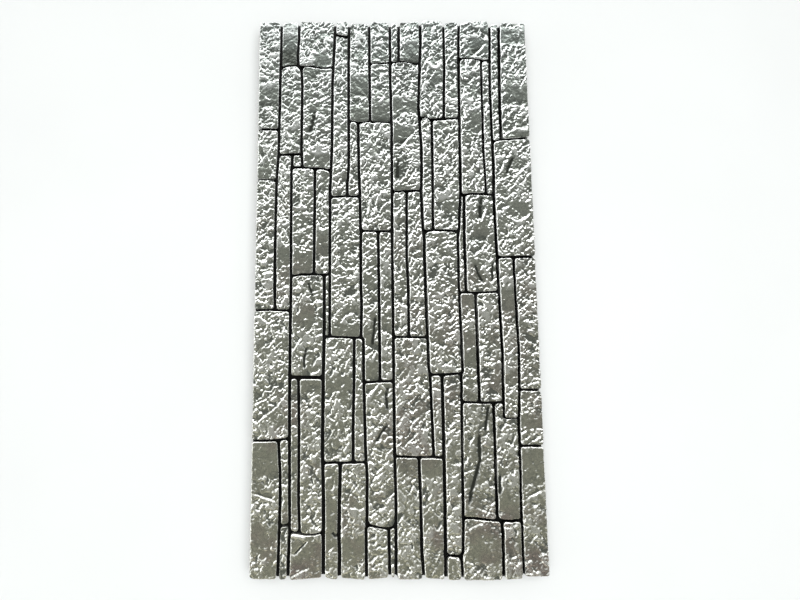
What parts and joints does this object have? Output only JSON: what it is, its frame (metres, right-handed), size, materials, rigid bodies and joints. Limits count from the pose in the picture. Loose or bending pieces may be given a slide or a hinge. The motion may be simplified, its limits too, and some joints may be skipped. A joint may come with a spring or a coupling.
{
  "type": "stacked-stone wall veneer panel",
  "caption": "Rectangular moulded wall veneer panel with long split-faced stones, deep narrow joints, straight long edges, stepped short ends and a flat back.",
  "frame": {"origin": "centre of the flat back", "axes": "+X across the panel, +Y along the stones and the long edges, +Z out of the stone faces"},
  "size_m": [0.6, 1.2, 0.038],
  "materials": {
    "pewter_painted_foam": "satin metallic pewter paint, with near-black joints"
  },
  "bodies": {
    "root": {"veneer_panel": "pewter_painted_foam"}
  },
  "joints": []
}
